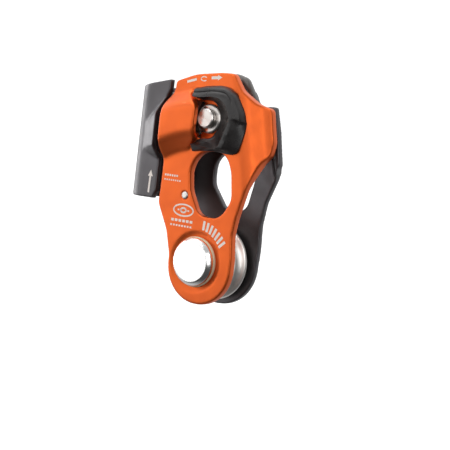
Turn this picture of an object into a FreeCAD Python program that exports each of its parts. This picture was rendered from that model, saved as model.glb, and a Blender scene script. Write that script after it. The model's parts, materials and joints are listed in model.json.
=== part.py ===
"""Rope clamp with pulley: a toothed cam in a folded rope channel over a grooved sheave.

Frame: millimetres, origin on the sheave's axle in the middle of the gap between the flanges,
+X to the user's right, +Y away from the swinging flange, +Z up towards the rope's anchor.
"""
import FreeCAD
import Part
import Sketcher
import math
import os

from FreeCAD import Placement, Rotation, Vector

DIMENSIONS = {
    # levels along Y
    "mobile_front": -11.4, "mobile_back": -7.8, "fixed_front": 7.8, "fixed_back": 10.8,
    "bridge_front": -16.9, "bridge_inner": -13.9, "floor_front": -8.4, "floor_back": -5.8,
    "guard_front": -15.4, "guard_step": -13.2, "dish_floor": -10.6,
    "through_front": -30.0, "through_back": 30.0,
    "mobile_wing_front": -4.4, "mobile_wing_back": -0.8,
    "fixed_wing_front": 0.1, "fixed_wing_back": 3.1, "mobile_lean": 0.24, "fixed_lean": 0.3,
    "cam_front": -5.0, "cam_back": 2.6, "pocket_floor": -0.2, "trigger_back": 5.6,
    "cam_washer_front": 5.65, "cam_washer_back": 7.75,
    "head_front": -13.3, "head_back": -10.9, "collar_front": -10.5, "collar_back": -8.5,
    "shoulder_front": -5.7, "shoulder_back": -5.1, "pin_washer_back": 11.5, "pin_tail": 13.2,
    "cap_front": -14.8, "cap_edge": -13.1, "cap_back": -11.7, "spigot_front": -14.2,
    "cap_bore_front": -14.25, "axle_washer_back": 11.6, "axle_tail": 13.6,
    "bush_back": -7.78, "thrust_outer": 7.75, "thrust_inner": 5.55,
    "sheave_front": -5.5, "sheave_half": 5.5, "groove_half": 4.0,
    "rivet_tail": -6.2, "stop_tip": -4.4, "spring_front": -4.25, "spring_pitch": 1.35,
    # radii about the sheave's axle
    "axle_radius": 6.0, "running_bore": 6.05, "tenon_radius": 5.0, "tenon_bore": 5.02,
    "spigot_radius": 4.0, "cap_bore": 4.02, "cap_top_radius": 9.2, "cap_radius": 10.9,
    "friction_radius": 11.3, "dish_radius": 11.6, "dish_rim": 14.0,
    "bush_radius": 8.0, "bush_bore": 8.02, "thrust_radius": 11.0,
    "sheave_radius": 17.4, "groove_radius": 13.6, "sheave_bush_radius": 8.5, "sheave_bore": 8.52,
    "axle_washer_radius": 10.0, "axle_head_radius": 8.8,
    # cam pin and what turns on it
    "pin_x": -2.2, "pin_z": 64.0,
    "head_radius": 4.45, "undercut_radius": 3.9, "collar_radius": 6.6, "neck_radius": 4.0,
    "journal_radius": 5.0, "journal_bore": 5.05, "slot_half": 4.3, "recess_radius": 9.4,
    "boss_radius": 12.2, "floor_left": -7.2, "pin_bore": 4.02, "pin_washer_radius": 7.5,
    "pin_tail_radius": 6.0, "cam_bush_radius": 6.3, "cam_bore": 6.32, "hub_radius": 9.2,
    "pocket_radius": 11.3, "cam_washer_radius": 9.0, "spring_radius": 10.2,
    "spring_wire_radius": 0.65, "stop_orbit": 12.6, "stop_angle": 217.6, "stop_radius": 1.2,
    "stop_bore": 1.22, "stop_slot_half": 1.35, "cam_opening": 42.0,
    "teeth_start": 158.0, "teeth_end": 196.0, "teeth_near": 29.5, "teeth_far": 36.9,
    "tooth_depth": 1.1, "tooth_count": 13,
    "rivet_orbit": 7.75, "rivet_radius": 0.9, "rivet_bore": 0.92,
    # raised bridge, by radius about the sheave's axle
    "bridge_foot": 50.6, "bridge_shoulder": 57.5, "bridge_head": 70.5, "bridge_end": 77.4,
    "bridge_web": 0.3, "bridge_rim": 3.6, "bridge_border": 3.0, "bridge_lean": 1.05, "bridge_sweep": 32.0,
    "slot_sweep": 12.0,
    # rope channel and small parts
    "channel_x": -35.4, "channel_y": -0.3, "channel_outer": 11.1, "channel_inner": 8.1,
    "lip_edge": -25.0, "rivet_x": -9.9, "rivet_z": 28.8, "rivet_shank": 1.7, "rivet_shank_bore": 1.72,
    "rivet_tail_radius": 2.6, "peg_radius": 1.5, "peg_bore": 1.52,
    "fold_front": -11.4, "bulge_left": -37.6, "bulge_right": -27.0,
    "section_bottom": -22.0, "section_height": 112.0,
}

FRONT_VIEW = Rotation(Vector(1, 0, 0), 90)    # sketch x, y -> model X, Z
SIDE_VIEW = Rotation(Vector(0, 0, 1), 0)      # sketch x, y -> model X, Y

doc = FreeCAD.newDocument("ascender")
sheet = doc.addObject("Spreadsheet::Sheet", "Dimensions")
for row, (alias, value) in enumerate(DIMENSIONS.items(), start=1):
    sheet.set(f"A{row}", alias)
    sheet.set(f"B{row}", str(value))
    sheet.setAlias(f"B{row}", alias)
doc.recompute()


def size(alias):
    return float(sheet.get(alias))


def cell(alias):
    return f"Dimensions.{alias}"


def polar(radius, angle, centre=(0.0, 0.0)):
    """A point in the front view, by radius and anticlockwise angle about a centre."""
    turn = math.radians(angle)
    return centre[0] + radius * math.cos(turn), centre[1] + radius * math.sin(turn)


PIN = (size("pin_x"), size("pin_z"))
STOP = polar(size("stop_orbit"), size("stop_angle"), PIN)
RIVET = (size("rivet_x"), size("rivet_z"))
PEGS = [(11.5, 74.0), (13.5, 54.0)]
RIVET_ANGLES = (20.0, 100.0, 290.0)


# Outlines. Each is a ring of corners (x, z, corner radius).
MOBILE_OUTLINE = [
    (-22.2, 79.8, 2.0), (-11.0, 83.4, 25.0), (3.0, 84.7, 25.0), (9.6, 84.6, 2.5),
    (14.2, 77.5, 8.0), (20.5, 72.3, 8.0), (26.6, 70.9, 2.5), (28.0, 64.0, 8.0),
    (29.7, 56.5, 6.0), (28.9, 50.6, 3.0), (26.3, 46.9, 6.0), (22.9, 35.5, 20.0),
    (19.4, 21.5, 25.0), (18.4, 14.0, 15.0), (19.6, 4.0, 12.0), (19.6, -18.9, 17.3),
    (-15.3, -18.7, 17.3), (-15.4, 1.0, 10.0), (-18.6, 12.0, 14.0), (-25.0, 23.6, 4.0),
    (-24.6, 42.0, 10.0), (-25.4, 48.0, 5.0), (-25.4, 69.0, 6.0), (-22.6, 75.0, 5.0),
]
MOBILE_HOLE = [
    (-8.7, 40.5, 9.0), (-7.4, 31.5, 12.0), (-1.2, 20.6, 7.0), (10.8, 20.5, 8.0),
    (15.8, 29.5, 7.0), (14.0, 41.5, 12.0), (10.2, 49.8, 8.0), (-4.6, 49.8, 10.0),
]
FIXED_OUTLINE = [
    (-46.55, 25.3, 4.0), (-46.55, 76.1, 1.2), (-25.0, 80.4, 5.0), (-6.0, 83.0, 20.0),
    (1.5, 83.3, 5.0), (8.2, 78.0, 6.0), (10.5, 73.6, 4.0), (14.5, 72.2, 4.0),
    (25.6, 72.2, 1.0), (28.6, 61.5, 8.0), (31.4, 46.6, 3.0), (26.2, 42.6, 4.0),
    (21.2, 29.5, 12.0), (19.8, 19.5, 14.0), (20.3, 8.0, 12.0), (19.0, -19.4, 18.7),
    (-18.9, -19.4, 18.7), (-18.9, 4.0, 8.0), (-20.5, 11.0, 10.0), (-26.5, 25.3, 3.0),
]
FIXED_HOLE = [
    (-9.2, 50.0, 8.0), (13.4, 50.0, 7.0), (14.2, 40.0, 10.0), (10.8, 24.0, 6.0),
    (-0.5, 24.0, 6.0), (-9.2, 35.0, 8.0),
]
LIP_TRIM = [      # what is cut from the lip, to the right of its free edge
    (-25.1, 84.0, 0.0), (-25.3, 75.0, 6.0), (-28.4, 69.0, 6.0), (-28.4, 47.5, 5.0),
    (-27.3, 42.0, 5.0), (-27.3, 29.0, 3.0), (-29.0, 25.0, 0.0), (-29.0, 15.0, 0.0),
    (-20.0, 15.0, 0.0), (-20.0, 84.0, 0.0),
]
BULGE_LEFT_HEIGHTS = (46.6, 49.0, 58.5, 60.8)       # where the lip's bulge starts and levels out
BULGE_RIGHT_HEIGHTS = (43.2, 49.8, 65.6, 72.4)
BRIDGE_CUT = [    # everything to the left of the bridge's sheared edge
    (-40.0, 40.0, 0.0), (-10.8, 40.0, 0.0), (-10.4, 50.2, 1.0), (-5.8, 55.0, 4.0),
    (-5.6, 69.0, 4.0), (-11.8, 74.4, 1.0), (-11.8, 90.0, 0.0), (-40.0, 90.0, 0.0),
]
GUARD_OUTLINE = [
    (-9.6, 77.4, 0.6), (-4.0, 79.0, 15.0), (4.5, 79.0, 12.0), (10.5, 77.6, 4.0),
    (14.8, 71.0, 10.0), (18.7, 61.5, 7.0), (17.2, 49.6, 3.0), (7.5, 49.8, 10.0),
    (3.0, 51.0, 10.0), (-8.4, 48.9, 0.6), (-8.2, 51.2, 0.8), (-5.0, 54.6, 2.0),
    (-1.6, 56.2, 3.0), (5.6, 56.4, 7.4), (5.6, 71.6, 7.4), (-2.2, 72.4, 4.0), (-8.8, 73.2, 0.8),
    (-9.6, 73.6, 0.6),
]
GUARD_CREST = [
    (-9.0, 77.0, 0.6), (-4.0, 77.9, 12.0), (4.0, 77.9, 10.0), (9.4, 76.0, 4.0),
    (13.4, 69.5, 8.0), (15.6, 61.5, 7.0), (13.6, 51.4, 3.0), (-7.4, 50.2, 0.4),
    (-7.2, 51.2, 0.4), (-5.6, 52.9, 0.8), (1.0, 53.0, 3.0), (9.4, 54.4, 8.0), (9.4, 73.0, 8.0),
    (1.0, 74.4, 6.0), (-9.0, 74.2, 0.6),
]
TRIGGER_OUTLINE = [
    (-4.8, 84.2, 3.0), (0.5, 86.0, 6.0), (6.8, 84.2, 5.0), (10.6, 78.5, 8.0),
    (13.6, 74.2, 2.0), (9.6, 68.4, 6.0), (6.6, 60.6, 9.0), (-2.2, 54.7, 9.0),
    (-11.5, 58.5, 5.0), (-11.2, 68.0, 6.0), (-6.4, 74.0, 5.0),
]
TRIGGER_EYE = [
    (-1.8, 82.1, 2.0), (4.4, 82.1, 3.0), (9.2, 76.6, 2.5), (5.2, 74.2, 2.0), (-1.4, 75.6, 2.0),
]


def corner_turn(before, corner, after):
    return math.pi - (before - corner).getAngle(after - corner)


def setbacks(corners, radii):
    """How far each corner's arc reaches along its two sides, shared where a side is short."""
    count = len(corners)
    wanted = []
    for i in range(count):
        turn = corner_turn(corners[i - 1], corners[i], corners[(i + 1) % count])
        wanted.append(radii[i] * math.tan(turn / 2))
    allowed = list(wanted)
    for i in range(count):
        after = (i + 1) % count
        side = (corners[after] - corners[i]).Length
        total = wanted[i] + wanted[after]
        if total > 0.98 * side:
            share = 0.98 * side / total
            allowed[i] = min(allowed[i], wanted[i] * share)
            allowed[after] = min(allowed[after], wanted[after] * share)
    return allowed


def corner_arc(before, corner, after, setback):
    """Tangent points and mid point of the arc that rounds one corner, or None."""
    if setback < 1e-4:
        return None
    turn = corner_turn(before, corner, after)
    arc_radius = setback / math.tan(turn / 2)
    first = corner + (before - corner).normalize() * setback
    last = corner + (after - corner).normalize() * setback
    inward = (first + last) * 0.5 - corner
    reach = arc_radius / math.cos(turn / 2) - arc_radius
    middle = corner + inward.normalize() * reach
    return first, middle, last


def rounded(points):
    """Lines and tangent arcs of a closed outline given by its corners."""
    corners = [Vector(point[0], point[1], 0) for point in points]
    radii = [point[2] if len(point) > 2 else 0.0 for point in points]
    reach = setbacks(corners, radii)
    count = len(points)
    arcs = []
    for i in range(count):
        after = corners[(i + 1) % count]
        arcs.append(corner_arc(corners[i - 1], corners[i], after, reach[i]))
    pieces = []
    for i in range(count):
        arc = arcs[i]
        following = arcs[(i + 1) % count]
        start = arc[2] if arc else corners[i]
        end = following[0] if following else corners[(i + 1) % count]
        if arc:
            pieces.append(Part.Arc(arc[0], arc[1], arc[2]))
        if (end - start).Length > 1e-4:
            pieces.append(Part.LineSegment(start, end))
    return pieces


def free_sketch(name, rings, place):
    sketch = doc.addObject("Sketcher::SketchObject", name)
    for ring in rings:
        sketch.addGeometry(rounded(ring), False)
    sketch.Placement = place
    return sketch


def front_slab(name, ring, low, high):
    """Outline in the front view, extruded in Y between two cells."""
    sketch = free_sketch(name + "_sketch", [ring], Placement(Vector(), FRONT_VIEW))
    sketch.setExpression("Placement.Base.y", cell(low))
    slab = doc.addObject("Part::Extrusion", name)
    slab.Base = sketch
    slab.DirMode = "Custom"
    slab.Dir = Vector(0, 1, 0)
    slab.Solid = True
    slab.setExpression("LengthFwd", f"{cell(high)} - {cell(low)}")
    return slab


def bent_section(name, ring, lean=None):
    """Bent sheet: its section seen from above, extruded up, with the bends leaning to the left."""
    place = Placement(Vector(0, 0, size("section_bottom")), SIDE_VIEW)
    sketch = free_sketch(name + "_sketch", [ring], place)
    sketch.setExpression("Placement.Base.z", cell("section_bottom"))
    blank = doc.addObject("Part::Extrusion", name)
    blank.Base = sketch
    blank.DirMode = "Custom"
    blank.Dir = Vector(-size(lean) if lean else 0.0, 0, 1)
    blank.Solid = True
    length = cell("section_height")
    if lean:
        length += f" * sqrt(1 + {cell(lean)} * {cell(lean)})"
    blank.setExpression("LengthFwd", length)
    return blank


def lean_shift(lean):
    """How far a leaning bend moves between the pin's height and the section's."""
    return size(lean) * (size("pin_z") - size("section_bottom"))


def rod(name, radius, low, high, centre=(0.0, 0.0)):
    """Cylinder along Y between two cells, its radius from a cell."""
    cylinder = doc.addObject("Part::Cylinder", name)
    cylinder.Placement = Placement(Vector(centre[0], 0, centre[1]), Rotation(Vector(1, 0, 0), -90))
    cylinder.setExpression("Radius", cell(radius))
    cylinder.setExpression("Height", f"{cell(high)} - {cell(low)}")
    cylinder.setExpression("Placement.Base.y", cell(low))
    return cylinder


def through_slab(name, ring):
    """Outline in the front view, long enough to cut through everything."""
    return front_slab(name, ring, "through_front", "through_back")


def box_between(name, left, right, front, back, low, high):
    """Box between two levels along each axis."""
    box = doc.addObject("Part::Box", name)
    box.Length = right - left
    box.Width = back - front
    box.Height = high - low
    box.Placement.Base = Vector(left, front, low)
    return box


def cut(name, base, tools):
    if len(tools) > 1:
        tool = doc.addObject("Part::MultiFuse", name + "_tools")
        tool.Shapes = tools
    else:
        tool = tools[0]
    result = doc.addObject("Part::Cut", name)
    result.Base = base
    result.Tool = tool
    return result


def fuse(name, shapes):
    result = doc.addObject("Part::MultiFuse", name)
    result.Shapes = shapes
    return result


def common(name, first, second):
    result = doc.addObject("Part::Common", name)
    result.Base = first
    result.Tool = second
    return result


def washer(name, outer, bore, low, high, centre=(0.0, 0.0)):
    body = rod(name + "_blank", outer, low, high, centre)
    hole = rod(name + "_hole", bore, low, high, centre)
    return cut(name, body, [hole])


def turned(name, profile, centre=(0.0, 0.0)):
    """PartDesign revolution about an axis along Y; profile is (radius cell or 0, Y cell)."""
    body = doc.addObject("PartDesign::Body", name)
    sketch = body.newObject("Sketcher::SketchObject", name + "_profile")
    plane = [f for f in body.Origin.OriginFeatures if f.Role == "XY_Plane"][0]
    sketch.AttachmentSupport = [(plane, "")]
    sketch.MapMode = "FlatFace"
    radii = [size(r) if isinstance(r, str) else float(r) for r, _ in profile]
    levels = [size(y) for _, y in profile]
    corners = [Vector(r, y, 0) for r, y in zip(radii, levels)]
    count = len(corners)
    lines = [Part.LineSegment(corners[i], corners[(i + 1) % count]) for i in range(count)]
    sketch.addGeometry(lines, False)
    constraints = []
    for i in range(count):
        constraints.append(Sketcher.Constraint("Coincident", i, 2, (i + 1) % count, 1))
    sketch.addConstraint(constraints)
    for i, (radius, level) in enumerate(profile):
        if isinstance(radius, str):
            index = sketch.addConstraint(Sketcher.Constraint("DistanceX", -1, 1, i, 1, radii[i]))
            sketch.setExpression(f"Constraints[{index}]", cell(radius))
        else:
            sketch.addConstraint(Sketcher.Constraint("PointOnObject", i, 1, -2))
        index = sketch.addConstraint(Sketcher.Constraint("DistanceY", -1, 1, i, 1, levels[i]))
        sketch.setExpression(f"Constraints[{index}]", cell(level))
    revolution = body.newObject("PartDesign::Revolution", name + "_turning")
    revolution.Profile = sketch
    revolution.ReferenceAxis = (sketch, ["V_Axis"])
    revolution.Angle = 360.0
    body.Placement = Placement(Vector(centre[0], 0, centre[1]), Rotation())
    return body


def chamfered(body, base, edges_of, width):
    """Chamfer the circular edges of one radius on a turned body."""
    doc.recompute()
    names = []
    for i, edge in enumerate(base.Shape.Edges, start=1):
        if edges_of(edge):
            names.append(f"Edge{i}")
    chamfer = body.newObject("PartDesign::Chamfer", body.Name + "_chamfer")
    chamfer.Base = (base, names)
    chamfer.Size = width
    body.Tip = chamfer
    return chamfer


def circle_at(level, radius):
    """A test for the circular edge with a radius cell at a Y cell."""
    def test(edge):
        if not hasattr(edge.Curve, "Radius"):
            return False
        near_level = abs(edge.Curve.Center.y - size(level)) < 1e-3
        return near_level and abs(edge.Curve.Radius - size(radius)) < 1e-3
    return test


# ---- flanges --------------------------------------------------------------------------------

def ring_sector(name, ring, start, sweep):
    """Section (radius, y) swept about the sheave's axle; angles run anticlockwise from +Z."""
    turn = Rotation(Vector(0, 1, 0), -start)
    upright = Rotation(Vector(0, 0, 1), Vector(0, 1, 0), Vector(-1, 0, 0), "XYZ")
    sketch = free_sketch(name + "_sketch", [ring], Placement(Vector(), turn.multiply(upright)))
    sector = doc.addObject("Part::Revolution", name)
    sector.Source = sketch
    sector.Axis = Vector(0, -1, 0)
    sector.setExpression("Angle", cell(sweep))
    sector.Solid = True
    return sector


def make_mobile_flange():
    front = size("mobile_front")
    back = size("mobile_back")
    wing_front = size("mobile_wing_front")
    wing_back = size("mobile_wing_back")
    shift = lean_shift("mobile_lean")
    section = [
        (-34.0, front), (17.4 + shift, front, 9.6), (25.0 + shift, wing_front, 5.0),
        (80.0, wing_front), (80.0, wing_back), (23.6 + shift, wing_back, 8.6),
        (16.0 + shift, back, 6.0), (-34.0, back),
    ]
    blank = bent_section("mobile_blank", section, "mobile_lean")
    crown = size("bridge_front")
    inner = size("bridge_inner")
    foot = size("bridge_foot")
    shoulder = size("bridge_shoulder")
    head = size("bridge_head")
    end = size("bridge_end")
    web = size("bridge_web")
    rim = size("bridge_rim")
    border = size("bridge_border")
    lean = size("bridge_lean")
    tunnel_section = [
        (foot - border, crown), (end + border, crown), (end + border, wing_front),
        (foot - border, wing_front),
    ]
    bridge_section = [
        (foot - rim, front), (foot, front, 5.0), (shoulder, crown, 8.0), (head, crown, 8.0),
        (end, front, 5.0), (end + rim, front), (end + rim, back), (end - web, back, 7.0),
        (head - lean, inner, 5.0), (shoulder + lean, inner, 5.0), (foot + web, back, 7.0),
        (foot - rim, back),
    ]
    tunnel_ring = ring_sector("tunnel_ring", tunnel_section, 0.0, "bridge_sweep")
    tunnel = common("tunnel", tunnel_ring, through_slab("tunnel_side", BRIDGE_CUT))
    bridge_ring = ring_sector("bridge_ring", bridge_section, 0.0, "bridge_sweep")
    bridge = common("bridge", bridge_ring, through_slab("bridge_side", BRIDGE_CUT))
    opened = cut("mobile_opened", blank, [tunnel])
    boss = rod("floor_boss", "boss_radius", "floor_front", "floor_back", PIN)
    reach = size("boss_radius")
    left_edge = size("floor_left")
    boss_trim = box_between("boss_trim", left_edge - reach, left_edge, front, 0.0,
                            PIN[1] - 2 * reach, PIN[1] + 2 * reach)
    floor = cut("floor", boss, [boss_trim])
    formed = fuse("mobile_formed", [opened, bridge, floor])
    trimmed = common("mobile_trimmed", formed, through_slab("mobile_outline", MOBILE_OUTLINE))
    recess = rod("recess", "recess_radius", "mobile_front", "floor_front", PIN)
    dish = doc.addObject("Part::Cone", "dish")
    dish.setExpression("Radius1", cell("dish_rim"))
    dish.setExpression("Radius2", cell("dish_radius"))
    dish.setExpression("Height", f"{cell('dish_floor')} - {cell('mobile_front')}")
    dish.Placement = Placement(Vector(0, front, 0), Rotation(Vector(1, 0, 0), -90))
    orbit = math.hypot(*PIN)
    pin_bearing = math.degrees(math.atan2(-PIN[0], PIN[1]))
    half = size("slot_half")
    head_level = size("head_front")
    slot_section = [
        (orbit - half, head_level), (orbit + half, head_level), (orbit + half, wing_front),
        (orbit - half, wing_front),
    ]
    slot = ring_sector("neck_slot", slot_section, pin_bearing, "slot_sweep")
    slot_end = rod("slot_end", "slot_half", "mobile_front", "pocket_floor", PIN)
    mouth = [(-4.4, 59.9), (-4.4, 68.1), (-8.4, 72.0), (-8.4, 56.0)]
    slot_mouth = front_slab("slot_mouth", mouth, "floor_front", "floor_back")
    bore = rod("mobile_bore", "bush_bore", "mobile_front", "mobile_back")
    hole = front_slab("mobile_hole", MOBILE_HOLE, "mobile_front", "mobile_back")
    rivet_hole = rod("rivet_hole", "rivet_shank_bore", "mobile_front", "mobile_back", RIVET)
    tools = [recess, dish, slot, slot_end, slot_mouth, bore, hole, rivet_hole]
    for i, peg in enumerate(PEGS, start=1):
        tools.append(rod(f"peg_hole_{i}", "peg_bore", "mobile_front", "mobile_back", peg))
    return cut("mobile_flange", trimmed, tools)


def lip_bulge(name, face, thickness):
    """Wedge that rises from the lip's face towards its free edge, under a slanting ridge."""
    proud = size("fold_front") - size("bridge_front")
    sections = []
    for left, rise, heights in (
            (size("bulge_left"), 0.0, BULGE_LEFT_HEIGHTS),
            (size("bulge_right"), proud, BULGE_RIGHT_HEIGHTS)):
        low, crown_low, crown_high, high = heights
        ring = [
            (face, low), (face - rise, crown_low), (face - rise, crown_high), (face, high),
            (face + thickness, high), (face + thickness, low),
        ]
        corners = [Vector(left, depth, height) for depth, height in ring]
        sections.append(Part.makePolygon(corners + corners[:1]))
    bulge = doc.addObject("Part::Feature", name)
    bulge.Shape = Part.makeLoft(sections, True, True)
    return bulge


def make_fixed_flange():
    x = size("channel_x")
    y = size("channel_y")
    outer = size("channel_outer")
    inner = size("channel_inner")
    lip = size("lip_edge")
    front = size("fixed_front")
    back = size("fixed_back")
    wing_front = size("fixed_wing_front")
    wing_back = size("fixed_wing_back")
    channel_section = [
        (lip, y - outer), (x - outer, y - outer, outer - 0.01), (x - outer, back, outer - 0.01),
        (6.0, back), (6.0, front), (x - inner, front, inner - 0.01),
        (x - inner, y - inner, inner - 0.01), (lip, y - inner),
    ]
    shift = lean_shift("fixed_lean")
    wing_section = [
        (0.0, back), (19.6 + shift, back, 5.0), (25.6 + shift, wing_back, 4.0), (80.0, wing_back),
        (80.0, wing_front), (24.2 + shift, wing_front, 4.0), (18.2 + shift, front, 4.0),
        (0.0, front),
    ]
    channel = bent_section("channel_blank", channel_section)
    plate = bent_section("plate_blank", wing_section, "fixed_lean")
    blank = fuse("fixed_blank", [channel, plate])
    blank.Refine = True
    lip_trim = front_slab("lip_trim", LIP_TRIM, "bridge_front", "mobile_back")
    thickness = outer - inner
    raised = fuse("fixed_raised", [blank, lip_bulge("lip_bulge", y - outer, thickness)])
    hollow = lip_bulge("lip_hollow", y - inner, thickness)
    formed = cut("fixed_formed", raised, [hollow])
    trimmed = common("fixed_trimmed", formed, through_slab("fixed_outline", FIXED_OUTLINE))
    tools = [
        lip_trim,
        front_slab("fixed_hole", FIXED_HOLE, "fixed_front", "fixed_back"),
        rod("axle_hole", "tenon_bore", "fixed_front", "fixed_back"),
        rod("pin_hole", "pin_bore", "fixed_front", "fixed_back", PIN),
        rod("stop_hole", "stop_bore", "fixed_front", "fixed_back", STOP),
    ]
    return cut("fixed_flange", trimmed, tools)


# ---- sheave group ---------------------------------------------------------------------------

def make_axle():
    profile = [
        (0, "spigot_front"), ("spigot_radius", "spigot_front"), ("spigot_radius", "cap_back"),
        ("axle_radius", "cap_back"), ("axle_radius", "fixed_front"),
        ("tenon_radius", "fixed_front"), ("tenon_radius", "axle_washer_back"),
        ("axle_head_radius", "axle_washer_back"), ("axle_head_radius", "axle_tail"),
        (0, "axle_tail"),
    ]
    body = turned("pulley_axle", profile)
    chamfered(body, body.Group[-1], circle_at("axle_tail", "axle_head_radius"), 0.9)
    return body


def make_cap():
    profile = [
        (0, "cap_front"), ("cap_top_radius", "cap_front"), ("cap_radius", "cap_edge"),
        ("cap_radius", "cap_back"), ("cap_bore", "cap_back"), ("cap_bore", "cap_bore_front"),
        (0, "cap_bore_front"),
    ]
    return turned("axle_cap", profile)


def make_sheave():
    """Grooved wheel: the rope groove is an arc through the two rims and the groove's bottom."""
    body = doc.addObject("PartDesign::Body", "sheave")
    sketch = body.newObject("Sketcher::SketchObject", "sheave_profile")
    plane = [f for f in body.Origin.OriginFeatures if f.Role == "XY_Plane"][0]
    sketch.AttachmentSupport = [(plane, "")]
    sketch.MapMode = "FlatFace"
    half = size("sheave_half")
    groove = size("groove_half")
    rim = size("sheave_radius")
    bore = size("sheave_bore")
    edge = 0.4
    side = [
        Vector(rim, -groove, 0), Vector(rim, -half + edge, 0), Vector(rim - edge, -half, 0),
        Vector(bore, -half, 0), Vector(bore, half, 0), Vector(rim - edge, half, 0),
        Vector(rim, half - edge, 0), Vector(rim, groove, 0),
    ]
    pieces = [Part.LineSegment(side[i], side[i + 1]) for i in range(len(side) - 1)]
    bottom = Vector(size("groove_radius"), 0, 0)
    pieces.append(Part.Arc(side[-1], bottom, side[0]))
    sketch.addGeometry(pieces, False)
    revolution = body.newObject("PartDesign::Revolution", "sheave_turning")
    revolution.Profile = sketch
    revolution.ReferenceAxis = (sketch, ["V_Axis"])
    revolution.Angle = 360.0
    return body


def make_thrust_washer(name, side):
    body = rod(name + "_blank", "thrust_radius", "thrust_inner", "thrust_outer")
    hole = rod(name + "_hole", "running_bore", "thrust_inner", "thrust_outer")
    if side < 0:
        for item in (body, hole):
            item.setExpression("Placement.Base.y", f"-{cell('thrust_outer')}")
    return cut(name, body, [hole])


# ---- cam group ------------------------------------------------------------------------------

def make_cam_pin():
    profile = [
        (0, "head_front"), ("head_radius", "head_front"), ("head_radius", "head_back"),
        ("undercut_radius", "head_back"), ("undercut_radius", "collar_front"),
        ("collar_radius", "collar_front"), ("collar_radius", "collar_back"),
        ("neck_radius", "collar_back"), ("neck_radius", "shoulder_front"),
        ("collar_radius", "shoulder_front"), ("collar_radius", "shoulder_back"),
        ("journal_radius", "shoulder_back"), ("journal_radius", "fixed_front"),
        ("neck_radius", "fixed_front"), ("neck_radius", "pin_washer_back"),
        ("pin_tail_radius", "pin_washer_back"), ("pin_tail_radius", "pin_tail"),
        (0, "pin_tail"),
    ]
    body = turned("cam_pin", profile, PIN)
    base = body.Group[-1]

    def shiny_edges(edge):
        tests = (
            circle_at("head_front", "head_radius"), circle_at("collar_front", "collar_radius"),
            circle_at("pin_tail", "pin_tail_radius"),
        )
        return any(test(edge) for test in tests)
    chamfered(body, base, shiny_edges, 0.6)
    return body


def cam_outline():
    """Cam in the front view: serrated arc that grows downwards, tip, flanks and hub."""
    start = size("teeth_start")
    end = size("teeth_end")
    near = size("teeth_near")
    growth = math.log(size("teeth_far") / near) / math.radians(end - start)
    count = int(size("tooth_count"))
    pitch = (end - start) / count
    depth = size("tooth_depth")
    points = [polar(9.9, 96.0, PIN) + (0.0,), polar(17.0, 128.0, PIN) + (6.0,)]
    points.append(polar(25.5, 150.0, PIN) + (4.0,))
    for i in range(count):
        root = start + i * pitch
        tip = root + 0.25 * pitch
        reach = near * math.exp(growth * math.radians(root - start))
        points.append(polar(reach - depth, root, PIN) + (0.0,))
        points.append(polar(reach + 0.2, tip, PIN) + (0.0,))
    points.append(polar(size("teeth_far") - depth, end, PIN) + (0.0,))
    points.append(polar(34.2, 201.0, PIN) + (1.5,))
    points.append(polar(21.0, 219.0, PIN) + (6.0,))
    points.append(polar(15.8, 234.0, PIN) + (3.0,))
    points.append(polar(11.0, 262.0, PIN) + (6.0,))
    points.append(polar(11.8, 315.0, PIN) + (8.0,))
    points.append(polar(12.2, 10.0, PIN) + (8.0,))
    points.append(polar(11.4, 60.0, PIN) + (6.0,))
    return points


def arc_slot_ring(radius, half, start, end):
    """Curved slot about the cam pin, as corners along its two sides."""
    steps = 8
    outer = []
    inner = []
    for i in range(steps + 1):
        angle = start + (end - start) * i / steps
        outer.append(polar(radius + half, angle, PIN) + (0.0,))
        inner.append(polar(radius - half, angle, PIN) + (0.0,))
    return outer + inner[::-1]


def make_cam():
    blank = front_slab("cam_blank", cam_outline(), "cam_front", "cam_back")
    bore = rod("cam_bore_tool", "cam_bore", "cam_front", "cam_back", PIN)
    pocket_outer = rod("pocket_outer", "pocket_radius", "cam_front", "pocket_floor", PIN)
    pocket_core = rod("pocket_core", "hub_radius", "cam_front", "pocket_floor", PIN)
    pocket = cut("spring_pocket", pocket_outer, [pocket_core])
    end = size("stop_angle")
    start = end - size("cam_opening")
    half = size("stop_slot_half")
    play = math.degrees(half / size("stop_orbit"))
    ring = arc_slot_ring(size("stop_orbit"), half, start - play, end + play)
    slot = front_slab("stop_slot", ring, "cam_front", "cam_back")
    tools = [bore, pocket, slot]
    for i, angle in enumerate(RIVET_ANGLES, start=1):
        spot = polar(size("rivet_orbit"), angle, PIN)
        tools.append(rod(f"cam_rivet_hole_{i}", "rivet_bore", "cam_front", "cam_back", spot))
    return cut("cam", blank, tools)


def make_trigger():
    blank = front_slab("trigger_blank", TRIGGER_OUTLINE, "cam_back", "trigger_back")
    bore = rod("trigger_bore", "cam_bore", "cam_back", "trigger_back", PIN)
    eye = front_slab("trigger_eye", TRIGGER_EYE, "cam_back", "trigger_back")
    tools = [bore, eye]
    for i, angle in enumerate(RIVET_ANGLES, start=1):
        spot = polar(size("rivet_orbit"), angle, PIN)
        name = f"trigger_rivet_hole_{i}"
        tools.append(rod(name, "rivet_bore", "cam_back", "trigger_back", spot))
    return cut("cam_trigger", blank, tools)


def make_trigger_rivets():
    rivets = []
    for i, angle in enumerate(RIVET_ANGLES, start=1):
        spot = polar(size("rivet_orbit"), angle, PIN)
        rivets.append(rod(f"rivet_{i}", "rivet_radius", "cam_front", "trigger_back", spot))
    group = doc.addObject("Part::Compound", "trigger_rivets")
    group.Links = rivets
    return group


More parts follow.
